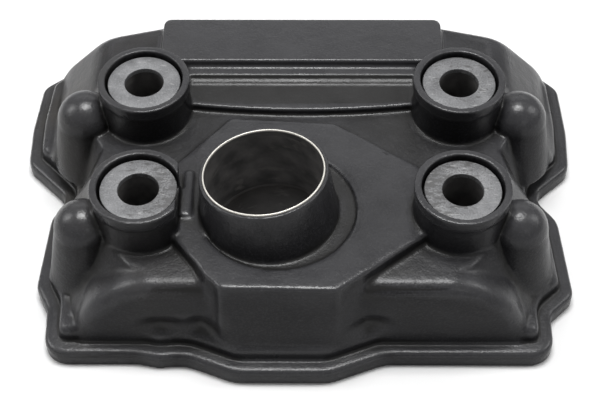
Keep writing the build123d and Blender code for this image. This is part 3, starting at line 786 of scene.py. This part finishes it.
def plated_of(name, dark, pale, tint, oil, scratch=(1.0, 14.0, 1.0)):
    """Plated steel: crystal mottle, fine scratches and a film of oil."""
    material, shader, coords = shader_of(name, metallic=0.85)
    coat = mixed(level(noise(coords, 180.0, 6.0), 0.34, 0.68), dark, pale)
    coat = mixed(level(noise(coords, 60.0, 5.0), 0.45, 0.70, 0.0, 0.6), coat, tint)
    film = level(noise(coords, 75.0, 6.0), 0.44, 0.62)
    coat = mixed(joined("MULTIPLY", film, oil), coat, FILM)
    put(shader, Base_Color=coat,
        Roughness=joined("SUBTRACT", level(noise(coords, 240.0, 5.0), 0.3, 0.7, 0.34, 0.56),
                         joined("MULTIPLY", film, 0.12)))
    raised(shader, (noise(coords, 260.0, 4.0, scratch), PLATED_BUMP),
           (noise(coords, 1400.0, 3.0), PLATED_BUMP))
    return material


oil_baffle = softened("oil_baffle_pressed", "oil_baffle", 0.35)
baffle_low, baffle_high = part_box("oil_baffle")
rib_mesh = oil_baffle.data
bm = bmesh.new()
bm.from_mesh(rib_mesh)
RIB_HALF, RIB_R, RIB_OFFSET, RIB_DROP, RIB_SINK = 0.026, 0.0016, 0.0046, 0.0007, 0.0001
for side in (-1, 1):
    rib_y = (baffle_low.y + baffle_high.y) / 2 + side * RIB_OFFSET
    capsule = bmesh.ops.create_uvsphere(bm, u_segments=32, v_segments=16, radius=RIB_R)
    for vert in capsule["verts"]:
        vert.co.x += RIB_HALF if vert.co.x > 0 else -RIB_HALF
        vert.co.y += rib_y
        vert.co.z = baffle_low.z + vert.co.z * RIB_DROP / RIB_R + RIB_SINK
bm.to_mesh(rib_mesh)
bm.free()
baffle_steel = plated_of("baffle_zinc", (0.28, 0.29, 0.30), (0.46, 0.47, 0.48),
                         (0.40, 0.37, 0.28), 0.75)
finish_piece(oil_baffle, "oil_baffle", baffle_steel, 35)

# ---------------------------------------------------------------------------
# Baffle screws: four pan-head screws with a cross recess, zinc plated, that
# hold the baffle to posts in the casting.
# ---------------------------------------------------------------------------
screw_steel = plated_of("screw_zinc", (0.33, 0.34, 0.34), (0.55, 0.55, 0.54), (0.44, 0.40, 0.28),
                        0.5, (14.0, 1.0, 1.0))


HEADED_INPUTS = ("Head Radius", "Head Height", "Shank Radius", "Shank Length", "Edge Radius",
                 "Cut Width", "Cut Length", "Cut Depth")
HEADED_STEPS, HEADED_FILLET = 60, 5
AXIS_RADIUS, SEAL_DISTANCE = 0.00001, 0.00003
HEX_SIDES = 6
HEX_LOSS = 0.134              # share of the corner radius that a hexagon flat takes off


def moved(tree, geometry, shift):
    return filled(tree, "GeometryNodeTransform",
                  {"Geometry": geometry, "Translation": shift}).outputs[0]


def headed_tree(name, material, recess):
    """Node tree of a headed fastener: a cross recess, or hexagon flats, cut in its head."""
    tree, sizes, out, identifiers = new_tree(name, HEADED_INPUTS)
    head_end = maths(tree, "MULTIPLY", sizes["Head Height"], -1.0)
    shank_end = maths(tree, "MULTIPLY", sizes["Shank Length"], -1.0)
    corners = [(None, shank_end), (sizes["Shank Radius"], shank_end),
               (sizes["Shank Radius"], None), (sizes["Head Radius"], None),
               (sizes["Head Radius"], sizes["Head Height"]), (None, sizes["Head Height"])]
    sweep = swept(tree, corners, False, HEADED_FILLET, sizes["Edge Radius"], AXIS_RADIUS,
                  HEADED_STEPS)
    sealed = filled(tree, "GeometryNodeMergeByDistance",
                    {"Distance": SEAL_DISTANCE, "Geometry": sweep})
    cut = filled(tree, "GeometryNodeMeshBoolean", {"Mesh 1": sealed.outputs[0]},
                 solver="EXACT", operation="DIFFERENCE")
    if recess:
        shift = vector(tree, None, None, head_end)
        tall = maths(tree, "MULTIPLY", sizes["Cut Depth"], 2.0)
        for size in (vector(tree, sizes["Cut Length"], sizes["Cut Width"], tall),
                     vector(tree, sizes["Cut Width"], sizes["Cut Length"], tall)):
            bar = filled(tree, "GeometryNodeMeshCube", {"Size": size})
            tree.links.new(moved(tree, bar.outputs["Mesh"], shift), cut.inputs["Mesh 2"])
    else:
        # flats are cut by a ring of six blocks round the head
        size = vector(tree, sizes["Cut Width"], sizes["Cut Length"], sizes["Cut Depth"])
        block = filled(tree, "GeometryNodeMeshCube", {"Size": size})
        reach = maths(tree, "ADD", sizes["Cut Width"], sizes["Head Radius"])
        half = maths(tree, "MULTIPLY", sizes["Cut Width"], -0.5)
        flat = maths(tree, "MULTIPLY", sizes["Head Radius"], HEX_LOSS)
        out_by = maths(tree, "SUBTRACT", maths(tree, "ADD", reach, half), flat)
        side = moved(tree, block.outputs["Mesh"], vector(tree, out_by, None, head_end))
        for k in range(HEX_SIDES):
            turn = filled(tree, "GeometryNodeTransform",
                          {"Rotation": (0, 0, math.radians(360 / HEX_SIDES * k)),
                           "Geometry": side})
            tree.links.new(turn.outputs[0], cut.inputs["Mesh 2"])
    coated(tree, cut.outputs[0], material, out)
    return tree, identifiers


screw_tree, screw_keys = headed_tree("cross_recess_screw", screw_steel, True)
SCREW_SIZES = {"Head Radius": 3.8, "Head Height": 2.4, "Shank Radius": 1.98, "Shank Length": 1.5,
               "Edge Radius": 0.75, "Cut Width": 0.9, "Cut Length": 4.2, "Cut Depth": 1.4}
SCREW_COUNT = 4
FIRST_TURN, NEXT_TURN = 17, 23
for k in range(1, SCREW_COUNT + 1):
    screw_low, screw_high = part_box(f"baffle_screw_{k}")
    middle = (screw_low + screw_high) / 2
    under = Vector((middle.x, middle.y, screw_low.z + SCREW_SIZES["Head Height"] / 1000))
    turn = Matrix.Rotation(math.radians(FIRST_TURN + NEXT_TURN * k), 4, "Z")
    screw = grown(f"baffle_screw_{k}_panhead", screw_tree, screw_keys, SCREW_SIZES,
                  Matrix.Translation(under) @ turn)
    finish_piece(screw, f"baffle_screw_{k}", screw_steel, 30)

# ---------------------------------------------------------------------------
# Cam chain guide: a plated steel bracket, a rubber pad that the chain has
# polished in two tracks, and two flanged hexagon bolts.
# ---------------------------------------------------------------------------
chain_guide_bracket = softened("chain_guide_bracket_pressed", "chain_guide_bracket", 0.4)
bracket_steel = plated_of("bracket_plate", (0.22, 0.23, 0.24), (0.40, 0.41, 0.42),
                          (0.34, 0.33, 0.27), 0.7)
finish_piece(chain_guide_bracket, "chain_guide_bracket", bracket_steel, 35)

chain_guide_pad = softened("chain_guide_pad_moulded", "chain_guide_pad", 0.5)
pad_low, pad_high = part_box("chain_guide_pad")
TRACK_OFFSET, TRACK_R, TRACK_DEPTH, TRACK_LENGTH = 0.0026, 0.0030, 0.0006, 0.04
TRACK_STEPS = 48
for side in (-1, 1):
    track_mesh = bpy.data.meshes.new("track")
    bm = bmesh.new()
    bmesh.ops.create_cone(bm, cap_ends=True, segments=TRACK_STEPS, radius1=TRACK_R,
                          radius2=TRACK_R, depth=TRACK_LENGTH,
                          matrix=Matrix.Rotation(math.pi / 2, 4, "X"))
    bm.to_mesh(track_mesh)
    bm.free()
    track = placed("track", track_mesh)
    track.location = ((pad_low.x + pad_high.x) / 2 + side * TRACK_OFFSET,
                      (pad_low.y + pad_high.y) / 2, pad_low.z - TRACK_R + TRACK_DEPTH)
    groove = chain_guide_pad.modifiers.new("track", "BOOLEAN")
    groove.object = track
    groove.operation = "DIFFERENCE"
    groove.solver = "EXACT"
    chain_guide_pad.data = baked(chain_guide_pad)
    bpy.data.objects.remove(track)
guide_rubber = rubber_of("guide_rubber_brown", (0.018, 0.013, 0.009), (0.045, 0.034, 0.024),
                         420.0)
finish_piece(chain_guide_pad, "chain_guide_pad", guide_rubber, 35)

bolt_steel = plated_of("bolt_passivated", (0.30, 0.27, 0.17), (0.50, 0.46, 0.30),
                       (0.40, 0.32, 0.22), 0.55, (1.0, 1.0, 20.0))
hex_tree, hex_keys = headed_tree("hexagon_bolt", bolt_steel, False)
BOLT_SIZES = {"Head Radius": 5.6, "Head Height": 4.0, "Shank Radius": 2.98, "Shank Length": 2.0,
              "Edge Radius": 0.5, "Cut Width": 3.0, "Cut Length": 9.0, "Cut Depth": 6.4}
for place in ("front", "back"):
    bolt_low, bolt_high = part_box("guide_bolt_" + place)
    middle = (bolt_low + bolt_high) / 2
    under = Vector((middle.x, middle.y, bolt_low.z + BOLT_SIZES["Head Height"] / 1000))
    bolt = grown("guide_bolt_" + place + "_flanged", hex_tree, hex_keys, BOLT_SIZES,
                 Matrix.Translation(under))
    finish_piece(bolt, "guide_bolt_" + place, bolt_steel, 30)
